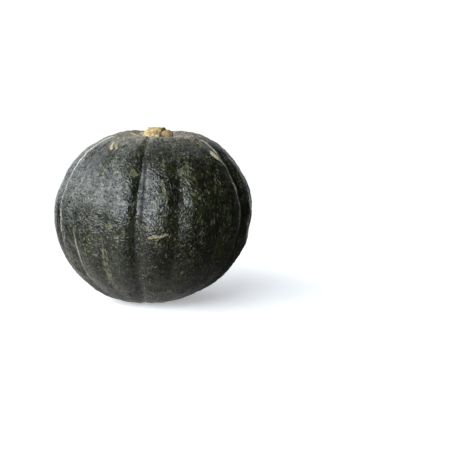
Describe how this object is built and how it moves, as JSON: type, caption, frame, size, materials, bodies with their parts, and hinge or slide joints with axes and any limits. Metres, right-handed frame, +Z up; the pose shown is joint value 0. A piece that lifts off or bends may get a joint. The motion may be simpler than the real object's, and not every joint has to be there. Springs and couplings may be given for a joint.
{
  "type": "kabocha pumpkin",
  "caption": "Whole dark green kabocha pumpkin: a squat ribbed fruit with a shallow hollow in its crown and a short corky stem stub, resting on a small flat spot.",
  "frame": {"origin": "centre of the small flat spot that the fruit rests on", "axes": "+Z up from the resting spot towards the stem; -Y is the front; +X is to the right seen from the front, the side the crown leans to"},
  "size_m": [0.1886, 0.192, 0.1673],
  "materials": {
    "rind": "satin",
    "cork": "matte"
  },
  "bodies": {
    "root": {"fruit": "rind", "stem": "cork"}
  },
  "joints": []
}
